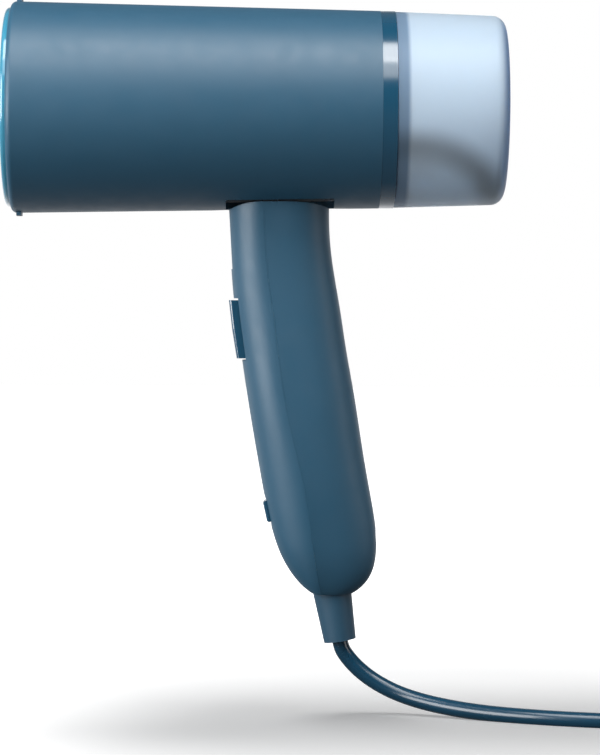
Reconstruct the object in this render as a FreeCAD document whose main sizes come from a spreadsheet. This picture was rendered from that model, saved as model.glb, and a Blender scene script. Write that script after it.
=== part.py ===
import FreeCAD, Part
import math
import os
import re
import Sketcher
from FreeCAD import Placement, Rotation, Vector

# Handheld travel steamer: a barrel with a steam plate at its front and a clip-on water tank at its
# rear folds on the top of an upright handle. Millimetres, +Z up, steam plate towards -X.
# The origin is the middle of the hand grip.

os.makedirs("parts", exist_ok=True)
doc = FreeCAD.newDocument("handheld_steamer")

DIMENSIONS = {
    # head: everything along the barrel is measured from the barrel's front edge
    "front_x": -109.2, "axis_z": 110, "barrel_length": 139.3, "front_radius": 40, "rear_radius": 37.4,
    "front_round": 2.0, "barrel_wall": 2.6, "lug_start": 2, "lug_length": 1.8, "lug_radius": 41.2,
    "lug_width": 9, "ring_length": 5.5, "ring_radius": 37.35, "ring_bore": 34.3, "ring_gap": 0.1,
    "bezel_proud": 2.1, "bezel_radius": 37.7, "bezel_round": 1.5, "spigot_radius": 37.1,
    "spigot_length": 5.2, "bezel_bore": 33.2, "plate_radius": 33, "plate_recess": 0.7,
    "plate_thick": 3, "steam_hole": 1.4, "hole_circle": 20, "inner_circle": 9,
    "seal_outer": 27.5, "seal_inner": 24.5, "chamber_x": 5.2, "chamber_radius": 27,
    "chamber_length": 20, "chamber_bore": 24, "chamber_depth": 16, "cover_radius": 28,
    "cover_thick": 3, "element_ring": 20, "element_radius": 3, "thermostat_radius": 7,
    "thermostat_height": 6, "fuse_radius": 2.2, "fuse_length": 12, "fuse_drop": 12,
    "shield_radius": 31, "shield_wall": 0.8, "shield_length": 32, "shield_hole": 16,
    "pump_x": 47, "pump_length": 40, "pump_radius": 9, "pump_rise": 8, "pump_bore": 4.5,
    "pump_cap": 4, "piston_radius": 4.3, "piston_length": 16, "piston_x": 12,
    "pump_spring_radius": 3.6, "pump_spring_length": 5.6, "pump_spring_wire": 0.8,
    "cradle_start": 54, "cradle_length": 23.5, "cradle_width": 12,
    "outlet_rise": 12, "outlet_radius": 2.2, "outlet_lead": 7.5, "inlet_radius": 2.5,
    "inlet_lead": 12, "inlet_bend": 14,
    "bulkhead_back": 3.1, "bulkhead_thick": 3, "bulkhead_radius": 34.6, "valve_drop": 18.5,
    "socket_radius": 7.5, "socket_back": 10, "socket_length": 14, "socket_bore": 5.2,
    "seal_ring_bore": 4.15, "seal_ring_length": 2, "barrel_screw_radius": 1.5,
    "barrel_screw_length": 8, "screw_head_radius": 2.8, "screw_head_length": 1.6,
    "barrel_screw_circle": 27,
    # hinge between head and handle
    "pivot_x": -6, "pivot_z": 50.4, "pin_radius": 2, "pin_length": 26, "tongue_width": 8,
    "tongue_boss": 4.5, "tongue_front": 1, "tongue_rear": 6, "hinge_fit": 0.05,
    "pocket_front": -27.9, "pocket_rear": 13, "pocket_half": 15.8, "pocket_top": 82,
    "strip_half": 4, "rib_top": 77,
    "bracket_wall": 2, "bush_radius": 4.2, "bush_inner": 4.3, "bush_outer": 12.6,
    "slot_bottom": 49.2, "slot_half": 4.4, "detent_thick": 1, "detent_gap": 0.35,
    "detent_length": 12, "detent_width": 25.2,
    # tank, measured from its own front edge
    "tank_length": 41.8, "tank_front_radius": 37.1, "tank_end_radius": 35.8, "tank_wall": 2.2,
    "tank_round": 5, "wall_start": 2.8, "wall_thick": 3, "wall_radius": 34.6,
    "tank_spigot_radius": 33.8, "tank_spigot_bore": 31.4, "tank_spigot_reach": 4.2,
    "stub_radius": 4, "stub_reach": 5.2, "boss_radius": 6.5, "boss_length": 8.5,
    "hose_radius": 2.5, "hose_lead": 9, "hose_lean": 1.5, "hose_drop": 4.5,
    "weight_radius": 3.3, "weight_length": 6, "weight_lift": 1,
    "weight_x": 34.5, "cap_rise": 16, "cap_radius": 8, "cap_head": 9.5, "cap_head_length": 1.6,
    "cap_stand": 1, "cap_depth": 2.2, "cap_fit": 0.3, "cap_bar_width": 2.4,
    "cap_bar_length": 15, "cap_bar_height": 1.5, "cap_seal_outer": 9.2, "cap_seal_gap": 0.05,
    # handle
    "handle_wall": 2.4, "saddle_gap": 0.25, "shell_seam": 0.05,
    "trigger_low": 15.4, "trigger_high": 37.4, "trigger_half": 7.5, "window_gap": 0.7,
    "trigger_pin_x": -17.5, "trigger_pin_z": 41.6, "trigger_pin_radius": 1.25,
    "trigger_pin_length": 25.2, "trigger_lug": 3, "trigger_fit": 0.05, "trigger_arm_half": 3,
    "spring_radius": 2.3, "spring_start": 3.6, "spring_length": 4,
    "switch_x": -12, "switch_depth": 7, "switch_low": 16, "switch_height": 20, "switch_half": 3.2,
    "lever_x": -15.3, "lever_thick": 0.6, "lever_low": 20, "lever_high": 35,
    "button_length": 8.2, "button_half": 4.4, "button_proud": 1.7, "button_depth": 5,
    "button_gap": 0.35, "push_switch_depth": 8, "push_switch_length": 11, "push_switch_half": 5.5,
    "board_x": 8, "board_thick": 1.6, "board_low": -30, "board_height": 30, "board_half": 10,
    "terminal_x": 13, "terminal_depth": 9, "terminal_low": -46, "terminal_height": 8,
    "terminal_half": 7, "post_radius": 3.6, "post_gap": 0.4, "screw_radius": 1.4,
    "screw_length": 14, "upper_screw_z": 8, "lower_screw_z": -52, "counterbore": 3.2,
    "head_seat": 0.7, "handle_head_length": 1.2,
    "clamp_low": -65.5, "clamp_height": 6.5, "clamp_depth": 16, "clamp_half": 6.5,
    "clamp_shift": 1.5, "clamp_screw_radius": 1.3, "clamp_screw_length": 9, "clamp_screw_y": 4.9,
    "clamp_head_radius": 1.8, "inner_lead_length": 10,
    # strain relief and cord
    "relief_top_x": 13.5, "relief_top_z": -74, "relief_low_x": 16.5, "relief_low_z": -92.1,
    "relief_top_radius": 7.3, "relief_low_radius": 6.1, "relief_flange": 7.9,
    "relief_flange_length": 2.5, "relief_root": 4,
    "cord_radius": 3.1, "coil_x": 174, "coil_y": -1.5, "coil_middle": 35, "coil_width": 24.8,
    "coil_height": 12.4, "floor_z": -120.4, "coil_lift": 0.8, "tie_wall": 0.8, "tie_width": 9,
    "tie_slack": 0.5, "plug_start": 17,
    "plug_thick": 22, "plug_width": 35, "plug_length": 32, "plug_round": 6,
    "plug_neck_length": 20, "plug_neck_radius": 5.5, "plug_neck_tip": 4,
    "plug_pin_radius": 2.4, "plug_pin_length": 19, "plug_pin_pitch": 19,
}
sheet = doc.addObject("Spreadsheet::Sheet", "dims")
for row, (alias, number) in enumerate(DIMENSIONS.items(), start=1):
    sheet.set(f"A{row}", alias)
    sheet.set(f"B{row}", str(number))
    sheet.setAlias(f"B{row}", alias)
doc.recompute()

pieces = []
TURN = {"X": Rotation(Vector(0, 1, 0), 90), "Y": Rotation(Vector(1, 0, 0), -90), "Z": Rotation()}


def amount(text):
    """Number that a sum or difference of aliases gives."""
    total, sign = 0.0, 1
    for word in str(text).split():
        if word in ("+", "-"):
            sign = 1 if word == "+" else -1
        elif word[0].isalpha():
            total += sign * sheet.get(word)
        else:
            total += sign * float(word)
    return total


def formula(text):
    """The same text as an expression on the sheet."""
    return re.sub(r"[a-z]+(?:_[a-z]+)+", r"dims.\g<0>", str(text))


def bind(target, settings):
    for prop, text in settings.items():
        target.setExpression(prop, formula(text))
    return target


def put(target, at, rotation=None):
    target.Placement = Placement(Vector(), rotation or Rotation())
    names = ("Placement.Base.x", "Placement.Base.y", "Placement.Base.z")
    return bind(target, dict(zip(names, at)))


def box(name, at, size):
    block = doc.addObject("Part::Box", name)
    bind(block, dict(zip(("Length", "Width", "Height"), size)))
    return put(block, at)


def rod(name, radius, length, at, along="X"):
    made = doc.addObject("Part::Cylinder", name)
    bind(made, {"Radius": radius, "Height": length})
    return put(made, at, TURN[along])


def taper(name, radius_a, radius_b, length, at, along="X"):
    made = doc.addObject("Part::Cone", name)
    bind(made, {"Radius1": radius_a, "Radius2": radius_b, "Height": length})
    return put(made, at, TURN[along])


def join(name, *parts):
    made = doc.addObject("Part::MultiFuse", name)
    made.Shapes = list(parts)
    return made


def cut(name, base, *tools):
    made = doc.addObject("Part::Cut", name)
    made.Base = base
    made.Tool = tools[0] if len(tools) == 1 else join(name + "_tools", *tools)
    return made


def common(name, one, other):
    made = doc.addObject("Part::Common", name)
    made.Base, made.Tool = one, other
    return made


def tube(name, outer, inner, length, at, along="X"):
    return cut(name, rod(name + "_outside", outer, length, at, along),
               rod(name + "_inside", inner, length, at, along))


def feature(name, shape):
    made = doc.addObject("Part::Feature", name)
    made.Shape = shape
    return made


def piece(made):
    """Count an object as a finished sub-part; its name is its label and its file."""
    made.Label = made.Name
    pieces.append(made)
    return made


def turned(name, corners, at):
    """PartDesign body revolved about X from (distance along, radius) corners given as sums."""
    body = doc.addObject("PartDesign::Body", name)
    sketch = body.newObject("Sketcher::SketchObject", name + "_profile")
    plane = next(item for item in body.Origin.OriginFeatures if item.Role == "XZ_Plane")
    sketch.AttachmentSupport = [(plane, "")]
    sketch.MapMode = "FlatFace"
    points = [Vector(amount(x), amount(r), 0) for x, r in corners]
    count = len(points)
    for index, point in enumerate(points):
        sketch.addGeometry(Part.LineSegment(point, points[(index + 1) % count]))
    for index in range(count):
        sketch.addConstraint(Sketcher.Constraint("Coincident", index, 2, (index + 1) % count, 1))
    for index, (x, r) in enumerate(corners):
        for kind, text, value, axis in (("DistanceX", x, points[index].x, -2),
                                        ("DistanceY", r, points[index].y, -1)):
            if text == "0":
                sketch.addConstraint(Sketcher.Constraint("PointOnObject", index, 1, axis))
                continue
            place = sketch.addConstraint(Sketcher.Constraint(kind, -1, 1, index, 1, value))
            sketch.setExpression(f"Constraints[{place}]", formula(text))
    spin = body.newObject("PartDesign::Revolution", name + "_turn")
    spin.Profile = sketch
    spin.ReferenceAxis = (sketch, ["H_Axis"])
    spin.Angle = 360
    body.Tip = spin
    put(body, at)
    doc.recompute()
    return body


def rounded(body, radius, distance, edge_radius):
    """Fillet the circular edge of a turned body at a distance along its axis."""
    turned_shape = body.Tip
    for number, edge in enumerate(turned_shape.Shape.Edges, start=1):
        curve = edge.Curve
        if not isinstance(curve, Part.Circle):
            continue
        if abs(curve.Center.x - amount(distance)) < 0.01 and abs(curve.Radius - amount(edge_radius)) < 0.01:
            fillet = body.newObject("PartDesign::Fillet", body.Name + "_round")
            fillet.Base = (turned_shape, [f"Edge{number}"])
            bind(fillet, {"Radius": radius})
            body.Tip = fillet
            doc.recompute()
            return body
    raise ValueError("no edge to round on " + body.Name)


def path_wire(route, share=0.45):
    """Straight runs joined by tangent arcs, each arc as large as its two runs allow."""
    edges, start = [], route[0]
    for before, corner, after in zip(route, route[1:], route[2:]):
        run_in, run_out = corner - before, after - corner
        reach = share * min(run_in.Length, run_out.Length)
        turn = run_in.getAngle(run_out)
        radius = reach / math.tan(turn / 2)
        enter = corner - Vector(run_in).normalize() * reach
        leave = corner + Vector(run_out).normalize() * reach
        inward = (enter + leave) * 0.5 - corner
        inward.normalize()
        centre_distance = radius / math.cos(turn / 2)
        middle = corner + inward * (centre_distance - radius)
        edges.append(Part.LineSegment(start, enter).toShape())
        edges.append(Part.Arc(enter, middle, leave).toShape())
        start = leave
    edges.append(Part.LineSegment(start, route[-1]).toShape())
    return Part.Wire(edges)


def pipe(route, radius):
    """Round solid along a route, checked against section times length."""
    wire = path_wire(route)
    ring = Part.Wire(Part.makeCircle(radius, route[0], route[1] - route[0]))
    solid = Part.Solid(wire.makePipeShell([ring], True, False))
    expected = math.pi * radius ** 2 * wire.Length
    if abs(solid.Volume / expected - 1) > 0.02:
        raise ValueError("pipe volume is off")
    return solid


# ---- outline of the handle at each height ------------------------------------------------------
# (height, front, crease, rear, half width, crease sharpness)
HANDLE_SECTIONS = [
    (84, -28.0, -13.4, 10.8, 15.0, 0.0), (70, -27.0, -13.6, 11.3, 15.0, 0.0),
    (46, -25.5, -12.0, 13.6, 15.2, 0.02), (31, -23.9, -9.6, 16.2, 15.8, 0.03),
    (15, -21.5, -7.6, 18.8, 16.4, 0.05),
    (-9, -17.7, -3.6, 23.0, 17.0, 0.12), (-32, -13.6, 2.0, 26.9, 16.6, 0.2),
    (-50, -9.6, 4.8, 29.9, 15.4, 0.24), (-60, -6.0, 6.4, 29.9, 14.2, 0.24),
    (-67, -1.8, 7.6, 28.0, 12.4, 0.22), (-71.5, 2.2, 8.4, 24.6, 10.6, 0.18),
    (-74, 5.6, 9.0, 21.0, 9.0, 0.12)]
FRONT_ROUNDNESS, REAR_ROUNDNESS = 0.9, 0.68
HALF_POINTS = 9


def handle_section(height, front, crease, rear, half, sharpness, inset):
    """Closed outline of a front and a rear curve that meet in a crease on each side."""
    halves = []
    for reach, sharp, roundness in ((front + inset - crease, 0.0, FRONT_ROUNDNESS),
                                    (rear - inset - crease, sharpness, REAR_ROUNDNESS)):
        points = []
        for index in range(HALF_POINTS):
            turn = math.pi * index / (HALF_POINTS - 1)
            along = math.sin(turn) ** roundness
            across = math.copysign(abs(math.cos(turn)) ** roundness, math.cos(turn))
            width = (half - inset) * across * (1 - sharp * along)
            points.append(Vector(crease + reach * along, width, height))
        halves.append(points)
    curves = []
    for points in (halves[0], halves[1][::-1]):
        curve = Part.BSplineCurve()
        curve.interpolate(points)
        curves.append(curve.toShape())
    return Part.Wire(curves)


# ---- head: barrel, bezel and steam plate -------------------------------------------------------
head_at = ("front_x", "0", "axis_z")

barrel_turn = rounded(turned("barrel_turn", [
    ("0", "front_radius - barrel_wall"), ("0", "front_radius"),
    ("barrel_length", "rear_radius"), ("barrel_length", "rear_radius - barrel_wall")], head_at),
    "front_round", "0", "front_radius")
lug_ring = tube("lug_ring", "lug_radius", "front_radius - barrel_wall", "lug_length",
                ("front_x + lug_start", "0", "axis_z"))
lug_bar = box("lug_bar", ("front_x", "-lug_width / 2", "axis_z - lug_radius"),
              ("barrel_length", "lug_width", "2 * lug_radius"))
lugs = common("lugs", lug_ring, lug_bar)
# the handle's side walls swing up through two pockets in the underside; the strip that is left
# between them stays over the handle's front slot, and the hinge tongue goes through it
pockets = [box(f"pocket_{side}", ("pocket_front", start, "pivot_z"),
               ("pocket_rear - pocket_front", "pocket_half - strip_half", "axis_z - pivot_z"))
           for side, start in (("left", "-pocket_half"), ("right", "strip_half"))]
tongue_hole = box("tongue_hole", ("pivot_x - tongue_front", "-tongue_width / 2", "pivot_z"),
                  ("tongue_front + tongue_rear", "tongue_width", "axis_z - pivot_z"))
barrel_shell = piece(cut("barrel_shell", join("barrel_with_lugs", barrel_turn, lugs),
                         *pockets, tongue_hole))

bezel_at = ("front_x - bezel_proud", "0", "axis_z")
front_bezel = piece(rounded(turned("front_bezel", [
    ("0", "bezel_bore"), ("0", "bezel_radius"), ("bezel_proud", "bezel_radius"),
    ("bezel_proud", "spigot_radius"), ("bezel_proud + spigot_length", "spigot_radius"),
    ("bezel_proud + spigot_length", "bezel_bore")], bezel_at),
    "bezel_round", "0", "bezel_radius"))

plate_x = "front_x - bezel_proud + plate_recess"
plate_disc = rod("plate_disc", "plate_radius", "plate_thick", (plate_x, "0", "axis_z"))
steam_holes = []
for circle, count in (("hole_circle", 12), ("inner_circle", 6)):
    for index in range(count):
        turn = 360 * index / count
        steam_holes.append(rod(f"steam_hole_{circle}_{index}", "steam_hole", "plate_thick", (
            plate_x, f"{circle} * sin({turn})", f"axis_z + {circle} * cos({turn})")))
steam_plate = piece(cut("steam_plate", plate_disc, *steam_holes))

# ---- head: steam chamber and its parts ---------------------------------------------------------
chamber_seal = piece(tube("chamber_seal", "seal_outer", "seal_inner",
                          "chamber_x + bezel_proud - plate_recess - plate_thick",
                          (plate_x + " + plate_thick", "0", "axis_z")))
chamber_start = "front_x + chamber_x"
steam_chamber = piece(turned("steam_chamber", [
    ("0", "chamber_bore"), ("0", "chamber_radius"), ("chamber_length", "chamber_radius"),
    ("chamber_length", "0"), ("chamber_depth", "0"), ("chamber_depth", "chamber_bore")],
    (chamber_start, "0", "axis_z")))
cover_start = chamber_start + " + chamber_length"
chamber_cover = piece(rod("chamber_cover", "cover_radius", "cover_thick", (cover_start, "0", "axis_z")))
cover_back = cover_start + " + cover_thick"
heating_element = doc.addObject("Part::Torus", "heating_element")
bind(heating_element, {"Radius1": "element_ring", "Radius2": "element_radius"})
heating_element.Angle3 = 300
piece(put(heating_element, (cover_back + " + element_radius", "0", "axis_z"), TURN["X"]))
thermostat = piece(rod("thermostat", "thermostat_radius", "thermostat_height", (cover_back, "0", "axis_z")))
thermal_fuse = piece(rod("thermal_fuse", "fuse_radius", "fuse_length",
                         (cover_back + " + fuse_radius", "-fuse_length / 2", "axis_z - fuse_drop"), "Y"))
heat_shield = piece(turned("heat_shield", [
    ("0", "shield_radius - shield_wall"), ("0", "spigot_radius"), ("shield_wall", "spigot_radius"),
    ("shield_wall", "shield_radius"), ("shield_length", "shield_radius"),
    ("shield_length", "shield_hole"), ("shield_length - shield_wall", "shield_hole"),
    ("shield_length - shield_wall", "shield_radius - shield_wall")], (chamber_start, "0", "axis_z")))

# ---- head: pump, its cradle and hoses ----------------------------------------------------------
pump_z = "axis_z + pump_rise"
pump_start = "front_x + pump_x"
pump_body = piece(cut("pump_body",
                      rod("pump_outside", "pump_radius", "pump_length", (pump_start, "0", pump_z)),
                      rod("pump_bore_hole", "pump_bore", "pump_length - 2 * pump_cap",
                          (pump_start + " + pump_cap", "0", pump_z))))
pump_piston = piece(rod("pump_piston", "piston_radius", "piston_length",
                        (pump_start + " + piston_x", "0", pump_z)))
pump_spring = piece(tube("pump_spring", "pump_spring_radius", "pump_spring_radius - pump_spring_wire",
                         "pump_spring_length",
                         (pump_start + " + piston_x + piston_length", "0", pump_z)))
cradle_block = box("cradle_block", ("front_x + cradle_start", "-cradle_width / 2",
                                    "axis_z - front_radius"),
                   ("cradle_length", "cradle_width", "front_radius + pump_rise - pump_radius / 2"))
barrel_room = taper("barrel_room", "front_radius - barrel_wall", "rear_radius - barrel_wall",
                    "barrel_length", head_at)
cradle_fit = common("cradle_fit", cradle_block, barrel_room)
pump_seat = rod("pump_seat", "pump_radius", "pump_length", (pump_start, "0", pump_z))
pump_cradle = piece(cut("pump_cradle", cradle_fit, pump_seat))

pump_height = amount("axis_z + pump_rise")
pump_front = amount("front_x + pump_x")
pump_rear = amount("front_x + pump_x + pump_length")
element_back = amount("front_x + chamber_x + chamber_length + cover_thick")
outlet_height = amount("axis_z + outlet_rise")
bulkhead_x = amount("front_x + barrel_length - bulkhead_back")
socket_start = amount("front_x + barrel_length - socket_back")
valve_z = amount("axis_z - valve_drop")
outlet_lead, inlet_lead = sheet.get("outlet_lead"), sheet.get("inlet_lead")
inlet_bend = sheet.get("inlet_bend")
outlet_route = [Vector(pump_front, 0, pump_height), Vector(pump_front - outlet_lead, 0, pump_height),
                Vector(element_back + outlet_lead, 0, outlet_height), Vector(element_back, 0, outlet_height)]
outlet_hose = piece(feature("outlet_hose", pipe(outlet_route, sheet.get("outlet_radius"))))
inlet_route = [Vector(socket_start, 0, valve_z), Vector(socket_start - inlet_lead, 0, valve_z),
               Vector(pump_rear + inlet_bend, 0, pump_height), Vector(pump_rear, 0, pump_height)]
inlet_hose = piece(feature("inlet_hose", pipe(inlet_route, sheet.get("inlet_radius"))))

# ---- head: rear ring and the bulkhead that takes the tank --------------------------------------
rear_x = "front_x + barrel_length"
rear_ring = piece(tube("rear_ring", "ring_radius", "ring_bore", "ring_length", (rear_x, "0", "axis_z")))
bulkhead_disc = rod("bulkhead_disc", "bulkhead_radius", "bulkhead_thick",
                    (rear_x + " - bulkhead_back", "0", "axis_z"))
socket_post = rod("socket_post", "socket_radius", "socket_length",
                  (rear_x + " - socket_back", "0", "axis_z - valve_drop"))
socket_hole = rod("socket_hole", "socket_bore", "socket_length",
                  (rear_x + " - socket_back", "0", "axis_z - valve_drop"))
barrel_screw_places = [(f"barrel_screw_circle * sin({turn})",
                        f"axis_z + barrel_screw_circle * cos({turn})") for turn in (30, 150, 270)]
screw_holes = [rod(f"barrel_screw_hole_{index}", "barrel_screw_radius", "bulkhead_thick",
                   (rear_x + " - bulkhead_back", y, z))
               for index, (y, z) in enumerate(barrel_screw_places)]
tank_socket = piece(cut("tank_socket", join("socket_block", bulkhead_disc, socket_post),
                        socket_hole, *screw_holes))
barrel_screws = []
for index, (y, z) in enumerate(barrel_screw_places):
    barrel_screws.append(rod(f"barrel_screw_shank_{index}", "barrel_screw_radius", "barrel_screw_length",
                             (rear_x + " - bulkhead_back + bulkhead_thick - barrel_screw_length", y, z)))
    barrel_screws.append(rod(f"barrel_screw_head_{index}", "screw_head_radius", "screw_head_length",
                             (rear_x + " - bulkhead_back + bulkhead_thick", y, z)))
barrel_screws = piece(join("barrel_screws", *barrel_screws))
tank_seal = piece(tube("tank_seal", "socket_bore", "seal_ring_bore", "seal_ring_length",
                       (rear_x + " - socket_back + socket_length - seal_ring_length", "0",
                        "axis_z - valve_drop")))

# ---- hinge: bracket in the barrel with its tongue, pin and bushes ------------------------------
pocket_x = "pocket_front - bracket_wall"
pocket_y = "-pocket_half - bracket_wall"
bracket_block = box("bracket_block", (pocket_x, pocket_y, "axis_z - front_radius"),
                    ("pocket_rear - pocket_front + 2 * bracket_wall", "2 * pocket_half + 2 * bracket_wall",
                     "pocket_top + bracket_wall - axis_z + front_radius"))
bracket_fit = common("bracket_fit", bracket_block, barrel_room)
bracket_hollow = box("bracket_hollow", ("pocket_front", "-pocket_half", "pivot_z"),
                     ("pocket_rear - pocket_front", "2 * pocket_half", "pocket_top - pivot_z"))
bracket_walls = cut("bracket_walls", bracket_fit, bracket_hollow)
tongue_blade = box("tongue_blade", ("pivot_x - tongue_front", "-tongue_width / 2", "pivot_z"),
                   ("tongue_front + tongue_rear", "tongue_width",
                    "pocket_top + bracket_wall - pivot_z"))
tongue_boss = rod("tongue_eye", "tongue_boss", "tongue_width",
                  ("pivot_x", "-tongue_width / 2", "pivot_z"), "Y")
pin_hole = rod("pin_hole", "pin_radius + hinge_fit", "tongue_width",
               ("pivot_x", "-tongue_width / 2", "pivot_z"), "Y")
rib_block = box("rib_block", ("pocket_front", "-strip_half", "axis_z - front_radius"),
                ("pocket_rear - pocket_front", "2 * strip_half", "rib_top - axis_z + front_radius"))
bracket_rib = common("bracket_rib", rib_block, barrel_room)
bracket_joined = join("bracket_joined", bracket_walls, bracket_rib, tongue_blade, tongue_boss)
hinge_bracket = piece(cut("hinge_bracket", bracket_joined, pin_hole))
hinge_pin = piece(rod("hinge_pin", "pin_radius", "pin_length",
                      ("pivot_x", "-pin_length / 2", "pivot_z"), "Y"))
bushes = [tube(f"bush_{side}", "bush_radius", "pin_radius", "bush_outer - bush_inner",
               ("pivot_x", start, "pivot_z"), "Y")
          for side, start in (("left", "-bush_outer"), ("right", "bush_inner"))]
hinge_bushes = piece(join("hinge_bushes", *bushes))
detent_spring = piece(box("detent_spring", ("pivot_x - detent_length / 2", "-detent_width / 2",
                                            "pivot_z - tongue_boss - detent_gap - detent_thick"),
                          ("detent_length", "detent_width", "detent_thick")))

# ---- tank --------------------------------------------------------------------------------------
tank_x = "front_x + barrel_length + ring_length + ring_gap"
tank_at = (tank_x, "0", "axis_z")
tank_shell = piece(rounded(turned("tank_shell", [
    ("0", "tank_front_radius - tank_wall"), ("0", "tank_front_radius"),
    ("tank_length", "tank_end_radius"), ("tank_length", "0"), ("tank_length - tank_wall", "0"),
    ("tank_length - tank_wall", "tank_end_radius - tank_wall")], tank_at),
    "tank_round", "tank_length", "tank_end_radius"))
valve_height = "axis_z - valve_drop"
cap_height = "axis_z + cap_rise"
wall_x = tank_x + " + wall_start"
wall_disc = rod("wall_disc", "wall_radius", "wall_thick", (wall_x, "0", "axis_z"))
wall_spigot = tube("wall_spigot", "tank_spigot_radius", "tank_spigot_bore",
                   "tank_spigot_reach + wall_start", (tank_x + " - tank_spigot_reach", "0", "axis_z"))
stub_hole = rod("stub_hole", "stub_radius", "wall_thick", (wall_x, "0", valve_height))
filler_hole = rod("filler_hole", "cap_radius + cap_fit", "wall_thick", (wall_x, "0", cap_height))
tank_front_wall = piece(cut("tank_front_wall", join("wall_joined", wall_disc, wall_spigot),
                            stub_hole, filler_hole))
valve_stub = rod("valve_stub", "stub_radius", "stub_reach + wall_start + wall_thick",
                 (tank_x + " - stub_reach", "0", valve_height))
valve_boss = rod("valve_boss", "boss_radius", "boss_length",
                 (wall_x + " + wall_thick", "0", valve_height))
tank_valve = piece(join("tank_valve", valve_stub, valve_boss))

tank_start = amount("front_x + barrel_length + ring_length + ring_gap")
boss_end = tank_start + amount("wall_start + wall_thick + boss_length")
weight_centre = tank_start + sheet.get("weight_x")
weight_low = amount("axis_z - tank_end_radius + tank_wall + weight_lift")
weight_high = weight_low + sheet.get("weight_length")
hose_route = [Vector(boss_end, 0, valve_z), Vector(boss_end + sheet.get("hose_lead"), 0, valve_z),
              Vector(weight_centre - sheet.get("hose_lean"), 0, weight_high + sheet.get("hose_drop")),
              Vector(weight_centre, 0, weight_high)]
suction_hose = piece(feature("suction_hose", pipe(hose_route, sheet.get("hose_radius"))))
hose_weight = piece(rod("hose_weight", "weight_radius", "weight_length",
                        (tank_x + " + weight_x", "0",
                         "axis_z - tank_end_radius + tank_wall + weight_lift"), "Z"))
cap_head_x = wall_x + " - cap_stand - cap_head_length"
cap_plug = rod("cap_plug", "cap_radius", "cap_stand + cap_depth",
               (wall_x + " - cap_stand", "0", cap_height))
cap_flange = rod("cap_flange", "cap_head", "cap_head_length", (cap_head_x, "0", cap_height))
cap_bar = box("cap_bar", (cap_head_x + " - cap_bar_height", "-cap_bar_width / 2",
                          "axis_z + cap_rise - cap_bar_length / 2"),
              ("cap_bar_height", "cap_bar_width", "cap_bar_length"))
fill_cap = piece(join("fill_cap", cap_plug, cap_flange, cap_bar))
fill_cap_seal = piece(tube("fill_cap_seal", "cap_seal_outer", "cap_radius", "cap_stand - cap_seal_gap",
                           (wall_x + " - cap_stand", "0", cap_height)))

# ---- handle: one lofted form, hollowed and split along the crease into cover and shell ---------
def handle_form(inset, sections):
    return Part.makeLoft([handle_section(*row, inset) for row in sections], True, False)


def edge_line(column, height, sections=HANDLE_SECTIONS):
    """Straight-line reading of a section column at a height."""
    for upper, lower in zip(sections, sections[1:]):
        if lower[0] <= height <= upper[0]:
            share = (upper[0] - height) / (upper[0] - lower[0])
            return upper[column] + share * (lower[column] - upper[column])
    raise ValueError("height is outside the handle")


FRONT, CREASE, REAR = 1, 2, 3
wall = sheet.get("handle_wall")
inner_sections = HANDLE_SECTIONS[:-1]
handle_outside = handle_form(0, HANDLE_SECTIONS)
handle_inside = handle_form(wall, inner_sections)
barrel_clear = Part.makeCone(
    amount("front_radius + saddle_gap"), amount("rear_radius + saddle_gap"), sheet.get("barrel_length"),
    Vector(sheet.get("front_x"), 0, sheet.get("axis_z")), Vector(1, 0, 0))
hollow_handle = handle_outside.cut(handle_inside).cut(barrel_clear)


def across_block(corners, half):
    """Prism through the handle's width from (x, z) corners."""
    outline = Part.makePolygon([Vector(x, -half, z) for x, z in corners + corners[:1]])
    return Part.Face(outline).extrude(Vector(0, 2 * half, 0))


REACH = 60
crease_line = [(row[CREASE], row[0]) for row in HANDLE_SECTIONS]
crease_line[0] = (crease_line[0][0], 100)
crease_line[-1] = (crease_line[-1][0], -100)
front_side = across_block(crease_line + [(-REACH, -100), (-REACH, 100)], REACH)
seam = Vector(sheet.get("shell_seam"), 0, 0)
rear_side = across_block(crease_line + [(REACH, -100), (REACH, 100)], REACH)
rear_side.translate(seam)

pivot = Vector(sheet.get("pivot_x"), 0, sheet.get("pivot_z"))
slot_half = sheet.get("slot_half")
tongue_slot = Part.makeBox(REACH, 2 * slot_half, REACH,
                           Vector(pivot.x - REACH, -slot_half, sheet.get("slot_bottom")))
gap = sheet.get("window_gap")
trigger_half = sheet.get("trigger_half")
trigger_low, trigger_high = sheet.get("trigger_low"), sheet.get("trigger_high")
trigger_window = Part.makeBox(
    REACH, 2 * (trigger_half + gap), trigger_high - trigger_low + 2 * gap,
    Vector(sheet.get("trigger_pin_x") - REACH, -trigger_half - gap, trigger_low - gap))

# the power button sits square to the front wall, in a shallow dish
BUTTON_TOP, BUTTON_LOW = Vector(-11.7, 0, -38.6), Vector(-9.9, 0, -46.6)
button_along = BUTTON_LOW - BUTTON_TOP
button_along.normalize()
button_inward = Vector(-button_along.z, 0, button_along.x)
button_middle = (BUTTON_TOP + BUTTON_LOW) * 0.5
button_turn = Rotation(button_inward, Vector(0, 1, 0), button_along * -1, "ZXY")


def button_block(length, half, start, depth):
    """Box along the button's own directions; start is measured inwards from the wall's face."""
    block = Part.makeBox(depth, 2 * half, length, Vector(start, -half, -length / 2))
    block.Placement = Placement(button_middle, button_turn).multiply(block.Placement)
    return block


button_length, button_half = sheet.get("button_length"), sheet.get("button_half")
button_gap = sheet.get("button_gap")
WINDOW_START, WINDOW_DEPTH = -10, 16
button_window = button_block(button_length + 2 * button_gap, button_half + button_gap,
                             WINDOW_START, WINDOW_DEPTH)
DISH_RADIUS, DISH_DEPTH = 26, 0.3
dish_centre = button_middle - button_inward * (DISH_RADIUS - DISH_DEPTH)
button_dish = Part.makeSphere(DISH_RADIUS, dish_centre)

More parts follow.
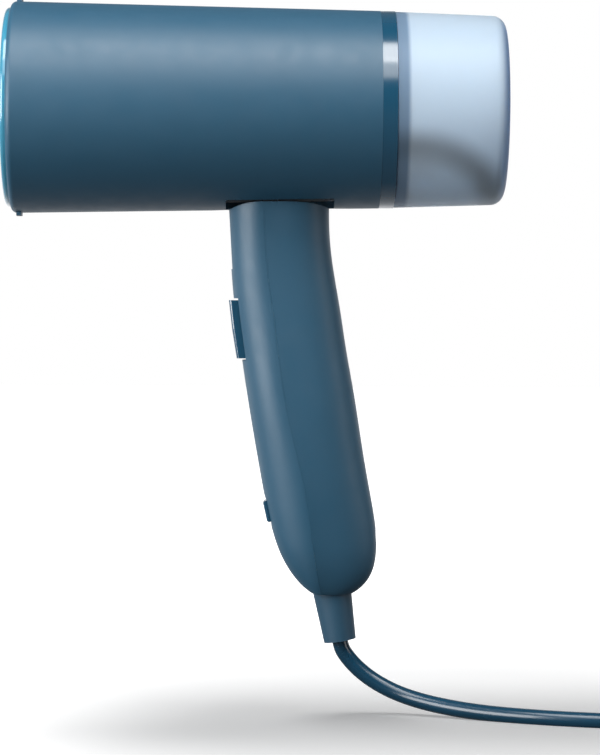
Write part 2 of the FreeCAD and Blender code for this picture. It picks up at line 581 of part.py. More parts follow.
relief_top = Vector(sheet.get("relief_top_x"), 0, sheet.get("relief_top_z"))
relief_low = Vector(sheet.get("relief_low_x"), 0, sheet.get("relief_low_z"))
relief_axis = relief_low - relief_top
relief_length = relief_axis.Length
relief_axis.normalize()
root = relief_top - relief_axis * sheet.get("relief_root")
relief_hole = Part.makeCylinder(sheet.get("relief_top_radius"), 2 * relief_length, root - relief_axis * 2,
                                relief_axis)

posts, post_holes, screws = [], [], []
for height in (sheet.get("upper_screw_z"), sheet.get("lower_screw_z")):
    rear_face = edge_line(REAR, height)
    post_end = rear_face - wall - sheet.get("post_gap")
    post_start = edge_line(FRONT, height) + wall / 2
    at = Vector(post_start, 0, height)
    posts.append(Part.makeCylinder(sheet.get("post_radius"), post_end - post_start, at, Vector(1, 0, 0)))
    seat = Vector(rear_face - wall + sheet.get("head_seat"), 0, height)
    head_length = sheet.get("handle_head_length")
    post_holes.append(Part.makeCylinder(sheet.get("screw_radius"), REACH, at, Vector(1, 0, 0)))
    post_holes.append(Part.makeCylinder(sheet.get("counterbore"), REACH, seat, Vector(1, 0, 0)))
    shank = Part.makeCylinder(sheet.get("screw_radius"), sheet.get("screw_length"),
                              seat - Vector(sheet.get("screw_length"), 0, 0), Vector(1, 0, 0))
    screws.append(shank.fuse(Part.makeCylinder(sheet.get("screw_head_radius"), head_length, seat,
                                               Vector(1, 0, 0))))

cover = hollow_handle.common(front_side)
for tool in (tongue_slot, trigger_window, button_dish, button_window, relief_hole):
    cover = cover.cut(tool)
cover = cover.fuse(posts)
for tool in post_holes:
    cover = cover.cut(tool)
shell = hollow_handle.common(rear_side)
for tool in [tongue_slot, relief_hole] + post_holes:
    shell = shell.cut(tool)
handle_front_cover = piece(feature("handle_front_cover", cover.removeSplitter()))
handle_rear_shell = piece(feature("handle_rear_shell", shell.removeSplitter()))
handle_screws = piece(feature("handle_screws", Part.makeCompound(screws)))

# ---- trigger, its pin and spring, and the switch that it works ---------------------------------
TRIGGER_FACE = [(-26.6, 37.4), (-25.3, 26.4), (-23.5, 15.4)]
TRIGGER_BACK = [(-19.6, 15.4), (-20.9, 26.4), (-22.3, 37.4)]
TRIGGER_ARM = [(-21.8, 34), (-20.2, 43), (-16.6, 43), (-16.2, 34)]
TRIGGER_NOSE = [(-21.5, 26), (-21.5, 22), (-16, 22), (-16, 26)]
trigger_pin_at = Vector(sheet.get("trigger_pin_x"), 0, sheet.get("trigger_pin_z"))
across = Vector(0, 1, 0)


def across_rod(radius, length, centre):
    return Part.makeCylinder(radius, length, centre - across * (length / 2), across)


arm_half = sheet.get("trigger_arm_half")
trigger_plate = across_block(TRIGGER_FACE + TRIGGER_BACK, trigger_half)
TRIGGER_ROUND, FACE_BEHIND, LONG = 1.2, -24.2, 5
long_edges = [edge for edge in trigger_plate.Edges
              if edge.BoundBox.YLength < 0.01 and edge.BoundBox.ZLength > LONG
              and edge.CenterOfMass.x < FACE_BEHIND]
trigger_plate = trigger_plate.makeFillet(TRIGGER_ROUND, long_edges)
trigger_solid = trigger_plate.fuse([
    across_block(TRIGGER_ARM, arm_half), across_block(TRIGGER_NOSE, arm_half),
    across_rod(sheet.get("trigger_lug"), 2 * arm_half, trigger_pin_at)])
trigger_bore = across_rod(sheet.get("trigger_pin_radius") + sheet.get("trigger_fit"), 2 * trigger_half,
                          trigger_pin_at)
trigger = piece(feature("trigger", trigger_solid.cut(trigger_bore).removeSplitter()))
trigger_pin = piece(rod("trigger_pin", "trigger_pin_radius", "trigger_pin_length",
                        ("trigger_pin_x", "-trigger_pin_length / 2", "trigger_pin_z"), "Y"))
trigger_spring = piece(tube("trigger_spring", "spring_radius", "trigger_pin_radius", "spring_length",
                            ("trigger_pin_x", "spring_start", "trigger_pin_z"), "Y"))
microswitch = piece(box("microswitch", ("switch_x", "-switch_half", "switch_low"),
                        ("switch_depth", "2 * switch_half", "switch_height")))
switch_lever = piece(box("switch_lever", ("lever_x", "-switch_half", "lever_low"),
                         ("lever_thick", "2 * switch_half", "lever_high - lever_low")))

# ---- power button, push switch, board, terminals and cord clamp --------------------------------
BUTTON_ROUND = 0.9
button_proud = sheet.get("button_proud")
button_shape = button_block(button_length, button_half, -button_proud, sheet.get("button_depth"))
outer_edges = [edge for edge in button_shape.Edges
               if (edge.CenterOfMass - button_middle).dot(button_inward) < BUTTON_ROUND - button_proud]
power_button = piece(feature("power_button", button_shape.makeFillet(BUTTON_ROUND, outer_edges)))
SWITCH_START = 5.2
push_switch = piece(feature("push_switch", button_block(
    sheet.get("push_switch_length"), sheet.get("push_switch_half"), SWITCH_START,
    sheet.get("push_switch_depth"))))
circuit_board = piece(box("circuit_board", ("board_x", "-board_half", "board_low"),
                          ("board_thick", "2 * board_half", "board_height")))
terminal_block = piece(box("terminal_block", ("terminal_x", "-terminal_half", "terminal_low"),
                           ("terminal_depth", "2 * terminal_half", "terminal_height")))

inner_lead_length = sheet.get("inner_lead_length")
flange_start = root - relief_axis * sheet.get("relief_flange_length")
inner_lead = piece(feature("inner_lead", Part.makeCylinder(
    sheet.get("cord_radius"), inner_lead_length, flange_start - relief_axis * inner_lead_length,
    relief_axis)))
clamp_x = relief_top.x - sheet.get("clamp_depth") / 2 - sheet.get("clamp_shift")
clamp_half = sheet.get("clamp_half")
clamp_low, clamp_height = sheet.get("clamp_low"), sheet.get("clamp_height")
clamp_shape = Part.makeBox(sheet.get("clamp_depth"), 2 * clamp_half, clamp_height,
                           Vector(clamp_x, -clamp_half, clamp_low)).cut(inner_lead.Shape)
clamp_screws = []
for side in (-1, 1):
    seat = Vector(clamp_x, side * sheet.get("clamp_screw_y"), clamp_low + clamp_height / 2)
    shank = Part.makeCylinder(sheet.get("clamp_screw_radius"), sheet.get("clamp_screw_length"), seat,
                              Vector(1, 0, 0))
    clamp_shape = clamp_shape.cut(shank)
    head = Part.makeCylinder(sheet.get("clamp_head_radius"), sheet.get("screw_head_length"), seat,
                             Vector(-1, 0, 0))
    clamp_screws.append(shank.fuse(head))
cord_clamp = piece(feature("cord_clamp", clamp_shape))
clamp_screws = piece(feature("clamp_screws", Part.makeCompound(clamp_screws)))

# ---- strain relief: inner flange, root through the handle's foot, tapered sleeve ----------------
top_radius = sheet.get("relief_top_radius")
relief = Part.makeCylinder(sheet.get("relief_flange"), sheet.get("relief_flange_length"),
                           flange_start, relief_axis)
relief = relief.fuse(Part.makeCylinder(top_radius, sheet.get("relief_root"), root, relief_axis))
relief = relief.fuse(Part.makeCone(top_radius, sheet.get("relief_low_radius"), relief_length,
                                   relief_top, relief_axis))
strain_relief = piece(feature("strain_relief", relief.removeSplitter()))

# ---- power cord: free run, coil of the stored length, tie and plug -----------------------------
cord_radius = sheet.get("cord_radius")
floor_z = sheet.get("floor_z")
coil_centre = Vector(sheet.get("coil_x"), sheet.get("coil_y"), 0)
coil_width, coil_height = sheet.get("coil_width"), sheet.get("coil_height")
coil_outer = sheet.get("coil_middle") + coil_width / 2
coil_inner = sheet.get("coil_middle") - coil_width / 2
coil_floor = floor_z + sheet.get("coil_lift")
CORD_ROUTE = [
    (16.5, 0, -92.1), (16.96, 0, -94.9), (19.3, 0, -98.5), (23.4, -0.5, -103.0), (29.9, -1.6, -107.9),
    (39.3, -4.4, -112.4), (52.1, -11, -115.4), (68.8, -21, -117.0), (88.9, -32, -117.3),
    (111.7, -40.5, -117.3), (134, -45.2, -117.3), (155, -46.6, -117.0), (174, -45.8, -116.5)]
cord_solid = pipe([Vector(*point) for point in CORD_ROUTE], cord_radius)
power_cord_run = piece(feature("power_cord_run", cord_solid))
coil_base = Vector(coil_centre.x, coil_centre.y, coil_floor)
coil_shape = Part.makeCylinder(coil_outer, coil_height, coil_base).cut(
    Part.makeCylinder(coil_inner, coil_height, coil_base))
power_cord_coil = piece(feature("power_cord_coil", coil_shape))
tie_wall, tie_width, tie_slack = (sheet.get(name) for name in ("tie_wall", "tie_width", "tie_slack"))
tie_shape = Part.makeBox(
    tie_width, coil_width + 2 * tie_wall + tie_slack, coil_height + tie_wall + sheet.get("coil_lift"),
    Vector(coil_centre.x - tie_width / 2, coil_centre.y + coil_inner - tie_wall - tie_slack, floor_z))
cord_tie = piece(feature("cord_tie", tie_shape.cut(coil_shape)))

outer_turn = coil_outer - cord_radius
plug_axis = Vector(1, 0, 0)
plug_thick, plug_width = sheet.get("plug_thick"), sheet.get("plug_width")
plug_length, neck_length = sheet.get("plug_length"), sheet.get("plug_neck_length")
neck_start = Vector(coil_centre.x + sheet.get("plug_start"), coil_centre.y - outer_turn,
                    floor_z + plug_thick / 2)
body_start = neck_start + plug_axis * neck_length
plug_block = Part.makeBox(plug_length, plug_width, plug_thick,
                          body_start - Vector(0, plug_width / 2, plug_thick / 2))
plug_block = plug_block.makeFillet(sheet.get("plug_round"), [
    edge for edge in plug_block.Edges if edge.BoundBox.XLength > plug_length / 2])
plug_neck = Part.makeCone(sheet.get("plug_neck_tip"), sheet.get("plug_neck_radius"), neck_length,
                          neck_start, plug_axis)
plug_body = piece(feature("plug_body", plug_block.fuse(plug_neck).removeSplitter()))
pins = []
for side in (-0.5, 0.5):
    at = body_start + plug_axis * plug_length + across * (side * sheet.get("plug_pin_pitch"))
    pins.append(Part.makeCylinder(sheet.get("plug_pin_radius"), sheet.get("plug_pin_length"), at, plug_axis))
plug_pins = piece(feature("plug_pins", Part.makeCompound(pins)))

# ---- check every object and write the sub-parts ------------------------------------------------
doc.recompute()
for item in doc.Objects:
    if "Invalid" in item.State or "Error" in item.State:
        raise ValueError(f"failed object {item.Name}: {item.getStatusString()}")
for item in pieces:
    if item.Shape.isNull() or not item.Shape.isValid() or item.Shape.Volume <= 0:
        raise ValueError("bad shape " + item.Name)
    item.Shape.exportStep(f"parts/{item.Label}.step")
print(len(pieces), "sub-parts written")
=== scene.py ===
import math

import bmesh
import bpy
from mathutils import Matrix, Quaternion, Vector


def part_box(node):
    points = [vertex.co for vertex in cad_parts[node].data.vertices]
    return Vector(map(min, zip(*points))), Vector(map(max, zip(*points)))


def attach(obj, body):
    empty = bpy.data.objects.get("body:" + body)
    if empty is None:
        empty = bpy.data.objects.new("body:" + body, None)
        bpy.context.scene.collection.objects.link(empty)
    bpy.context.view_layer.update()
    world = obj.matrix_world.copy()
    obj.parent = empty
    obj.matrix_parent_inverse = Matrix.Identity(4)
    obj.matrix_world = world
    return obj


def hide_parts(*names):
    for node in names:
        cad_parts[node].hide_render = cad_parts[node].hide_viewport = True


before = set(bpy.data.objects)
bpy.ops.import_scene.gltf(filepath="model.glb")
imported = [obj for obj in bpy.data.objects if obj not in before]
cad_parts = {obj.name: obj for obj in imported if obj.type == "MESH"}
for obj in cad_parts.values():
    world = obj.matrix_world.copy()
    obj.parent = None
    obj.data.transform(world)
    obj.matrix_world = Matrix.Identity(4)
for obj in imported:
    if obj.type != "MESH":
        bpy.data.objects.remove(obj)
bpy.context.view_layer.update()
MM = 0.001
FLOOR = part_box("power_cord_coil")[0].z


# Camera. A long lens a little over a metre away on the side of the trigger
# hand, level with the grip and turned very slightly about its own axis.
camera_data = bpy.data.cameras.new("studio_camera")
camera_data.lens = 147.8
camera_data.sensor_width = 36
camera = bpy.data.objects.new("studio_camera", camera_data)
bpy.context.scene.collection.objects.link(camera)
camera.location = (-0.019, -1.180, 0.041)
camera_aim = Vector((0.00062, 0, 0.0081)) - camera.location
camera_tilt = Quaternion(camera_aim.normalized(), math.radians(-0.35))
camera.rotation_euler = (camera_tilt @ camera_aim.to_track_quat("-Z", "Y")).to_euler()
bpy.context.scene.camera = camera
bpy.context.scene.view_settings.view_transform = "Standard"


# Floor. A wide sheet of matt white studio board under the steamer. What the
# camera sees glows, with a painted shadow: the glow is weakest round the middle
# of the soft shadow and grows with distance, to meet the backdrop without a line;
# what other rays meet is a painted bounce glow, stronger from behind.
def paint(code):
    """A colour from its six-figure paint code."""
    parts = [int(code[i:i + 2], 16) / 255 for i in (0, 2, 4)]
    return (*[p / 12.92 if p <= 0.04045 else ((p + 0.055) / 1.055) ** 2.4 for p in parts], 1)


def moulded(name, code, roughness, grain=0.5, relief=0.01, mottle=0.05, coat=0.0, metal=0.0):
    """A moulded or coated finish: a fine skin of the grain size and relief in
    millimetres, a slow drift of colour, and a gloss that varies a little."""
    material = bpy.data.materials.new(name)
    material.use_nodes = True
    nodes, links = material.node_tree.nodes, material.node_tree.links
    shader = nodes["Principled BSDF"]
    shader.inputs["Metallic"].default_value = metal
    shader.inputs["Coat Weight"].default_value = coat
    shader.inputs["Coat Roughness"].default_value = 0.08
    place = nodes.new("ShaderNodeTexCoord")

    def noise(size, detail):
        made = nodes.new("ShaderNodeTexNoise")
        made.inputs["Scale"].default_value = 1 / (size * MM)
        made.inputs["Detail"].default_value = detail
        links.new(place.outputs["Object"], made.inputs["Vector"])
        return made

    drift = noise(18, 3)
    colours = nodes.new("ShaderNodeValToRGB")
    base = paint(code)
    colours.color_ramp.elements[0].position = 0.3
    colours.color_ramp.elements[1].position = 0.7
    colours.color_ramp.elements[0].color = (*[c * (1 - mottle) for c in base[:3]], 1)
    colours.color_ramp.elements[1].color = (*[min(1, c * (1 + mottle)) for c in base[:3]], 1)
    links.new(drift.outputs["Fac"], colours.inputs["Fac"])
    links.new(colours.outputs["Color"], shader.inputs["Base Color"])
    handling = noise(6, 4)
    gloss = nodes.new("ShaderNodeMapRange")
    gloss.inputs["From Min"].default_value = 0.3
    gloss.inputs["From Max"].default_value = 0.7
    gloss.inputs["To Min"].default_value = roughness * 0.92
    gloss.inputs["To Max"].default_value = min(1, roughness * 1.08)
    links.new(handling.outputs["Fac"], gloss.inputs["Value"])
    links.new(gloss.outputs["Result"], shader.inputs["Roughness"])
    skin = noise(grain, 2)
    bump = nodes.new("ShaderNodeBump")
    bump.inputs["Strength"].default_value = 1.0
    bump.inputs["Distance"].default_value = relief * MM
    links.new(skin.outputs["Fac"], bump.inputs["Height"])
    links.new(bump.outputs["Normal"], shader.inputs["Normal"])
    return material


def piece(name, mesh, material, body, stands_for=(), crease=35):
    """Turns a finished bmesh into a smooth-shaded piece that rides on its body."""
    data = bpy.data.meshes.new(name)
    mesh.to_mesh(data)
    mesh.free()
    data.shade_smooth()
    data.set_sharp_from_angle(angle=math.radians(crease))
    data.materials.append(material)
    made = bpy.data.objects.new(name, data)
    bpy.context.scene.collection.objects.link(made)
    if body:
        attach(made, body)
    if stands_for:
        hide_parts(*stands_for)
    return made


board = bmesh.new()
bmesh.ops.create_grid(board, x_segments=4, y_segments=4, size=4)
bmesh.ops.translate(board, verts=board.verts, vec=(0, 0, FLOOR))
board_white = moulded("matt_board", "e6e6e6", 0.9, grain=2, relief=0.02, mottle=0.01)
board_tree = board_white.node_tree
board_tree.nodes["Principled BSDF"].inputs["Emission Color"].default_value = (1, 1, 1, 1)
board_at = board_tree.nodes.new("ShaderNodeTexCoord")
# Painted shadow: the board's glow is weakest round the middle of the soft shadow and grows with
# distance from it.
board_from_painted_shadow = board_tree.nodes.new("ShaderNodeVectorMath")
board_from_painted_shadow.operation = "DISTANCE"
board_from_painted_shadow.inputs[1].default_value = (0.06, 0, FLOOR)  # middle of the soft shadow
board_glow_painted_shadow = board_tree.nodes.new("ShaderNodeMapRange")
board_glow_painted_shadow.interpolation_type = "SMOOTHSTEP"
board_glow_painted_shadow.inputs["From Min"].default_value = 0.10
board_glow_painted_shadow.inputs["From Max"].default_value = 0.38
board_glow_painted_shadow.inputs["To Min"].default_value = 0.28
board_glow_painted_shadow.inputs["To Max"].default_value = 1.1
board_tree.links.new(board_at.outputs["Object"], board_from_painted_shadow.inputs[0])
board_tree.links.new(board_from_painted_shadow.outputs["Value"], board_glow_painted_shadow.inputs["Value"])
board_tree.links.new(board_glow_painted_shadow.outputs["Result"],
                     board_tree.nodes["Principled BSDF"].inputs["Emission Strength"])
board_parts = board_tree.nodes.new("ShaderNodeSeparateXYZ")
board_tree.links.new(board_at.outputs["Object"], board_parts.inputs["Vector"])
# Painted bounce: for every ray but the camera's, the board glows, more strongly towards the back.
board_painted_bounce_level = board_tree.nodes.new("ShaderNodeMapRange")
board_painted_bounce_level.inputs["From Min"].default_value = 0.0
board_painted_bounce_level.inputs["From Max"].default_value = 0.45
board_painted_bounce_level.inputs["To Min"].default_value = 0.10
board_painted_bounce_level.inputs["To Max"].default_value = 1.0
board_tree.links.new(board_parts.outputs["Y"], board_painted_bounce_level.inputs["Value"])
board_painted_bounce = board_tree.nodes.new("ShaderNodeEmission")
board_painted_bounce.inputs["Color"].default_value = (0.97, 0.98, 1, 1)
board_tree.links.new(board_painted_bounce_level.outputs["Result"], board_painted_bounce.inputs["Strength"])
board_mix = board_tree.nodes.new("ShaderNodeMixShader")
board_seen = board_tree.nodes.new("ShaderNodeLightPath")
board_tree.links.new(board_seen.outputs["Is Camera Ray"], board_mix.inputs["Fac"])
board_tree.links.new(board_painted_bounce.outputs["Emission"], board_mix.inputs[1])
board_tree.links.new(board_tree.nodes["Principled BSDF"].outputs["BSDF"], board_mix.inputs[2])
board_tree.links.new(board_mix.outputs["Shader"], board_tree.nodes["Material Output"].inputs["Surface"])
studio_board = piece("studio_board", board, board_white, None)


# Studio light. Softboxes overhead, in front, left and right light the steamer
# and not the board; a separate lamp lights the board and casts the soft shadow,
# which the board's weaker glow there deepens as a painted shadow.
# The room behind is bright only near its horizon.
only_board = bpy.data.collections.new("only_board")
only_board.objects.link(studio_board)
all_but_board = bpy.data.collections.new("all_but_board")
all_but_board.objects.link(studio_board)
all_but_board.collection_objects[0].light_linking.link_state = "EXCLUDE"


def softbox(name, place, aim, wide, tall, brightness, lights=all_but_board):
    """An area light whose face has the given brightness, aimed at a point."""
    light = bpy.data.lights.new(name, "AREA")
    light.shape = "RECTANGLE"
    light.size, light.size_y = wide, tall
    light.energy = brightness * math.pi * wide * tall
    made = bpy.data.objects.new(name, light)
    made.location = place
    made.rotation_euler = (Vector(aim) - Vector(place)).to_track_quat("-Z", "Y").to_euler()
    bpy.context.scene.collection.objects.link(made)
    made.light_linking.receiver_collection = lights


softbox("overhead_box", (0, -0.47, 1.20), (0, 0, 0.1), 1.4, 0.54, 6.6)
softbox("front_box", (0, -0.84, 0.96), (0, 0, 0.1), 1.4, 0.50, 2.8)
softbox("left_box", (-0.98, -0.58, 0.10), (0, 0, 0.0), 0.85, 1.0, 8.5)
softbox("right_box", (1.05, -0.45, 0.10), (0, 0, 0.0), 0.40, 0.9, 2.2)
softbox("floor_lamp", (-0.40, 0.15, 1.40), (0, -0.03, FLOOR), 1.0, 0.42, 17.0, only_board)

surround = bpy.data.worlds.new("studio_surround")
bpy.context.scene.world = surround
surround.use_nodes = True
air = surround.node_tree
air.nodes.clear()
sky_out = air.nodes.new("ShaderNodeOutputWorld")
backdrop = air.nodes.new("ShaderNodeBackground")
backdrop.inputs["Color"].default_value = (1, 1, 1, 1)
backdrop.inputs["Strength"].default_value = 1.0
room = air.nodes.new("ShaderNodeBackground")
room.inputs["Color"].default_value = (0.95, 0.98, 1, 1)
room_at = air.nodes.new("ShaderNodeTexCoord")
room_parts = air.nodes.new("ShaderNodeSeparateXYZ")
room_level = air.nodes.new("ShaderNodeMapRange")
room_level.interpolation_type = "SMOOTHSTEP"
room_level.inputs["From Min"].default_value = 0.1
room_level.inputs["From Max"].default_value = 0.9
room_level.inputs["To Min"].default_value = 0.05
room_level.inputs["To Max"].default_value = 1.0
air.links.new(room_at.outputs["Generated"], room_parts.inputs["Vector"])
air.links.new(room_parts.outputs["Y"], room_level.inputs["Value"])
room_low = air.nodes.new("ShaderNodeMapRange")
room_low.interpolation_type = "SMOOTHSTEP"
room_low.inputs["From Min"].default_value = 0.10
room_low.inputs["From Max"].default_value = 0.45
room_low.inputs["To Min"].default_value = 1.0
room_low.inputs["To Max"].default_value = 0.15
air.links.new(room_parts.outputs["Z"], room_low.inputs["Value"])
room_both = air.nodes.new("ShaderNodeMath")
room_both.operation = "MULTIPLY"
air.links.new(room_level.outputs["Result"], room_both.inputs[0])
air.links.new(room_low.outputs["Result"], room_both.inputs[1])
air.links.new(room_both.outputs["Value"], room.inputs["Strength"])
which = air.nodes.new("ShaderNodeMixShader")
path = air.nodes.new("ShaderNodeLightPath")
air.links.new(path.outputs["Is Camera Ray"], which.inputs["Fac"])
air.links.new(room.outputs["Background"], which.inputs[1])
air.links.new(backdrop.outputs["Background"], which.inputs[2])
air.links.new(which.outputs["Shader"], sky_out.inputs["Surface"])


# Mains cord. A round three-core lead in a glossy navy sheath. It leaves the
# sleeve under the grip, settles onto the floor and ends wound in a tied coil.
# Sizes are in millimetres; the coil's lower turns run inwards, its upper outwards.
CORD = 6.2
LAID = [
    (16.5, 0, -92.1), (16.96, 0, -94.9), (19.3, 0, -98.5), (23.4, -0.5, -103.0),
    (29.9, -1.6, -107.9), (39.3, -4.4, -112.4), (52.1, -11, -115.4), (68.8, -21, -117.0),
    (88.9, -32, -117.3), (111.7, -40.5, -117.3), (134, -45.2, -117.3), (155, -46.6, -117.0),
    (174, -45.8, -116.5),
]
COIL = (174, -1.5)
RINGS = [44.3, 38.1, 31.9, 25.7, 25.7, 31.9, 38.1, 44.3]
STEPS = 18
COIL_FLOOR = FLOOR / MM + 0.8 + CORD / 2


def ease(at, start, end):
    """0 before start, 1 after end, and smooth between."""
    share = min(1, max(0, (at - start) / (end - start)))
    return share * share * (3 - 2 * share)


cord_points = [Vector(p) for p in LAID[:-1]]
for turn, ring in enumerate(RINGS):
    following = RINGS[min(turn + 1, len(RINGS) - 1)]
    upper = turn >= len(RINGS) // 2
    for step in range(STEPS):
        at = step / STEPS
        shift = ease(at, 0.05, 0.5) if upper else ease(at, 0.55, 1.0)
        reach = (ring + (following - ring) * shift) / math.cos(math.pi / STEPS)
        rise = 1.0 if upper else (ease(at, 0.55, 1.0) if turn == len(RINGS) // 2 - 1 else 0.0)
        bearing = math.radians(-90 + 360 * at)
        cord_points.append(Vector((
            COIL[0] + reach * math.cos(bearing), COIL[1] + reach * math.sin(bearing),
            COIL_FLOOR + CORD * rise)))
INTO_PLUG = [(COIL[0], -45.8, -110.3), (183, -45.8, -110.0), (192, -45.8, -109.4)]
cord_points += [Vector(spot) for spot in INTO_PLUG]

cord_curve = bpy.data.curves.new("mains_cord", "CURVE")
cord_curve.dimensions = "3D"
cord_curve.bevel_depth = CORD / 2 * MM
cord_curve.bevel_resolution = 5
cord_curve.resolution_u = 6
cord_curve.use_fill_caps = True
line = cord_curve.splines.new("NURBS")
line.points.add(len(cord_points) - 1)
for point, spot in zip(line.points, cord_points):
    point.co = (*(spot * MM), 1)
line.order_u = 3
line.use_endpoint_u = True
line.use_smooth = True
cord_sheath = moulded("cord_sheath", "10394f", 0.26, grain=1.5, relief=0.01, mottle=0.08, coat=0.3)
cord_curve.materials.append(cord_sheath)
mains_cord = bpy.data.objects.new("mains_cord", cord_curve)
bpy.context.scene.collection.objects.link(mains_cord)
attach(mains_cord, "handle")
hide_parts("power_cord_run", "power_cord_coil")


# Cord tie, plug and pins. A soft black strap closes the coil; the plug is
# moulded onto the lead, ribbed at its neck, with two brass pins pressed in.
def finish_node(node, material):
    """Gives a CAD part its finish."""
    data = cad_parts[node].data
    data.materials.clear()
    data.materials.append(material)


finish_node("cord_tie", moulded("strap_black", "17191b", 0.75, grain=0.6, relief=0.05))
finish_node("plug_body", moulded("plug_navy", "17303f", 0.42, grain=0.4, relief=0.02))
finish_node("plug_pins", moulded("pin_nickel", "c9c4b8", 0.22, grain=1.2, relief=0.004, metal=1.0))


# Inner parts. The steam chamber, pump, switches, hoses and hinge inside the
# housings, in cast aluminium, steel, rubber and plain engineering plastics,
# held by screws and press fits. The steam plate in the bezel is steel too.
INNER = {
    "steel": (moulded("bright_steel", "b8bcc0", 0.28, grain=0.8, relief=0.004, metal=1.0), (
        "barrel_screws", "clamp_screws", "detent_spring", "handle_screws", "heat_shield",
        "hinge_bracket", "hinge_pin", "pump_spring", "trigger_pin", "trigger_spring",
        "heating_element", "steam_plate")),
    "aluminium": (moulded("cast_aluminium", "a9adb0", 0.45, grain=0.9, relief=0.03, metal=1.0), (
        "steam_chamber", "chamber_cover")),
    "rubber": (moulded("seal_rubber", "1d1f21", 0.7, grain=0.3, relief=0.01), (
        "chamber_seal", "tank_seal", "fill_cap_seal")),
    "silicone": (moulded("hose_silicone", "6f8598", 0.4, grain=0.5, relief=0.01), (
        "suction_hose", "inlet_hose", "outlet_hose")),
    "plastic": (moulded("inner_plastic", "d8d8d4", 0.5, grain=0.4, relief=0.01), (
        "pump_body", "pump_cradle", "pump_piston", "terminal_block", "thermal_fuse",
        "thermostat", "microswitch", "push_switch", "switch_lever", "hinge_bushes",
        "cord_clamp", "tank_socket", "hose_weight", "tank_valve", "fill_cap")),
    "board": (moulded("board_green", "1f5b3a", 0.35, grain=0.5, relief=0.01), ("circuit_board",)),
    "lead": (cord_sheath, ("inner_lead",)),
}
for material, nodes in INNER.values():
    for node in nodes:
        finish_node(node, material)


# Barrel and handle housings. Polypropylene mouldings in one deep teal-blue
# with a soft satin coat; the barrel is one tube, the handle a front and a rear.
housing_satin = moulded("housing_satin", "25526b", 0.50, grain=0.35, relief=0.002, mottle=0.02)
housing_satin.node_tree.nodes["Principled BSDF"].inputs["IOR"].default_value = 1.62
for node in ("barrel_shell", "handle_front_cover", "handle_rear_shell"):
    finish_node(node, housing_satin)

# Trim. The ring before the tank, the trigger and the power button are polished
# mouldings in a darker teal, the bezel round the steam plate in a lighter one.
# The sleeve that guards the cord is a soft rubber-like moulding.
trim_gloss = moulded("trim_gloss", "174862", 0.18, grain=1.5, relief=0.001, mottle=0.02)
trim_gloss.node_tree.nodes["Principled BSDF"].inputs["IOR"].default_value = 1.95
for node in ("rear_ring", "trigger", "power_button"):
    finish_node(node, trim_gloss)
bezel_gloss = moulded("bezel_gloss", "3f8aa6", 0.14, grain=1.5, relief=0.001, mottle=0.02, coat=1.0)
finish_node("front_bezel", bezel_gloss)
sleeve_rubber = moulded("sleeve_rubber", "294c62", 0.5, grain=0.3, relief=0.004, mottle=0.03)
finish_node("strain_relief", sleeve_rubber)


# Water tank. A frosted polypropylene cup that pushes onto the ring, with its
# front wall welded in. The hose's soft shade is tinted into the cup's colour, so
# it stays put when the hose swings. Sizes are in millimetres.
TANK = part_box("tank_shell")
AXIS = Vector((0, 0, 0.110))
TANK_FRONT, TANK_END = TANK[0].x / MM, TANK[1].x / MM
MOUTH_RADIUS, END_RADIUS, END_ROUND, CUP_WALL = 37.1, 35.85, 5, 2.2
HOSE_CURL = (43, 60.6)  # middle of the hose's bend, along X and Z
HOSE_REACH, HOSE_SHADE = 34.4, 9  # radius of the bend, and how far its shade spreads


def turned(profile, steps=128):
    """A round body: (distance along X, radius) corners spun about the barrel's axis."""
    mesh = bmesh.new()
    ends = [mesh.verts.new((x * MM, 0, AXIS.z + r * MM)) for x, r in profile]
    rim = [mesh.edges.new(pair) for pair in zip(ends, ends[1:] + ends[:1])]
    bmesh.ops.spin(mesh, geom=ends + rim, cent=AXIS, axis=(1, 0, 0), angle=math.tau,
                   steps=steps, use_merge=True)
    bmesh.ops.remove_doubles(mesh, verts=mesh.verts, dist=1e-6)
    bmesh.ops.recalc_face_normals(mesh, faces=mesh.faces)
    return mesh


def corner(x, r, radius, start, end, steps):
    """Points round a corner's arc, centred at (x, r), between two angles in degrees."""
    spread = [math.radians(start + (end - start) * i / steps) for i in range(steps + 1)]
    return [(x + radius * math.cos(a), r + radius * math.sin(a)) for a in spread]


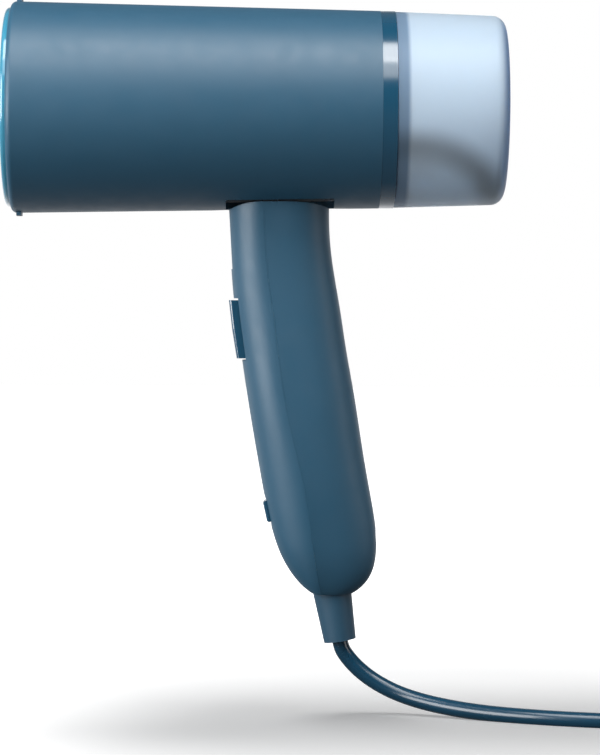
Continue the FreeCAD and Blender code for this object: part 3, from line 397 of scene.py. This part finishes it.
def frosted(name, code, collar_code, end_code, roughness, through):
    """Frosted plastic, darker where it laps its collar, deeper in its thick end and
    tinted with a fixed soft shade about where the hose rests."""
    material = moulded(name, code, roughness, grain=0.4, relief=0.003, mottle=0.01)
    nodes, links = material.node_tree.nodes, material.node_tree.links
    shader = nodes["Principled BSDF"]
    shader.inputs["Transmission Weight"].default_value = through
    shader.inputs["IOR"].default_value = 1.3
    place = nodes.new("ShaderNodeTexCoord")
    along = nodes.new("ShaderNodeSeparateXYZ")
    deep = nodes.new("ShaderNodeMapRange")
    deep.inputs["From Min"].default_value = TANK[0].x
    deep.inputs["From Max"].default_value = TANK[1].x
    tint = nodes.new("ShaderNodeValToRGB")
    tint.color_ramp.elements[0].color = paint(collar_code)
    tint.color_ramp.elements[0].position = 0.085
    tint.color_ramp.elements[1].color = paint(end_code)
    for at in (0.125, 0.93):  # past the collar, and before the thick end
        tint.color_ramp.elements.new(at).color = paint(code)
    links.new(place.outputs["Object"], along.inputs["Vector"])
    links.new(along.outputs["X"], deep.inputs["Value"])
    links.new(deep.outputs["Result"], tint.inputs["Fac"])
    bend = nodes.new("ShaderNodeVectorMath")
    bend.operation = "MULTIPLY_ADD"
    bend.inputs[1].default_value = (1, 0, 1)
    bend.inputs[2].default_value = (-HOSE_CURL[0] * MM, 0, -HOSE_CURL[1] * MM)
    links.new(place.outputs["Object"], bend.inputs[0])
    swing = nodes.new("ShaderNodeVectorMath")
    swing.operation = "LENGTH"
    links.new(bend.outputs["Vector"], swing.inputs[0])
    off_hose = nodes.new("ShaderNodeMath")
    off_hose.operation = "SUBTRACT"
    off_hose.inputs[1].default_value = HOSE_REACH * MM
    links.new(swing.outputs["Value"], off_hose.inputs[0])
    either_side = nodes.new("ShaderNodeMath")
    either_side.operation = "ABSOLUTE"
    links.new(off_hose.outputs["Value"], either_side.inputs[0])
    shade = nodes.new("ShaderNodeMapRange")
    shade.interpolation_type = "SMOOTHSTEP"
    shade.inputs["From Max"].default_value = HOSE_SHADE * MM
    shade.inputs["To Min"].default_value = 0.6
    shade.inputs["To Max"].default_value = 1.0
    links.new(either_side.outputs["Value"], shade.inputs["Value"])
    shaded = nodes.new("ShaderNodeVectorMath")
    shaded.operation = "SCALE"
    links.new(tint.outputs["Color"], shaded.inputs[0])
    links.new(shade.outputs["Result"], shaded.inputs["Scale"])
    links.new(shaded.outputs["Vector"], shader.inputs["Base Color"])
    return material


round_at = (TANK_END - END_ROUND, END_RADIUS - END_ROUND)
cup = [(TANK_FRONT, MOUTH_RADIUS), *corner(*round_at, END_ROUND, 90, 12, 8), (TANK_END, 0),
       (TANK_END - CUP_WALL, 0), *corner(*round_at, END_ROUND - CUP_WALL, 12, 90, 8),
       (TANK_FRONT, MOUTH_RADIUS - CUP_WALL)]
tank_frost = frosted("tank_frost", "dcedfb", "8fabc6", "3f78b4", 0.42, 0.55)
water_tank = piece("water_tank", turned(cup), tank_frost, "tank", ("tank_shell",))
finish_node("tank_front_wall", moulded("tank_wall_grey", "8aa2b8", 0.4, grain=0.4, relief=0.003))
finish_node("suction_hose", moulded("hose_grey", "3a4d60", 0.45, grain=0.4, relief=0.003))
finish_node("hose_weight", moulded("weight_grey", "4a5d70", 0.35, grain=0.4, relief=0.003))
finish_node("tank_valve", moulded("valve_grey", "44586c", 0.4, grain=0.4, relief=0.003))
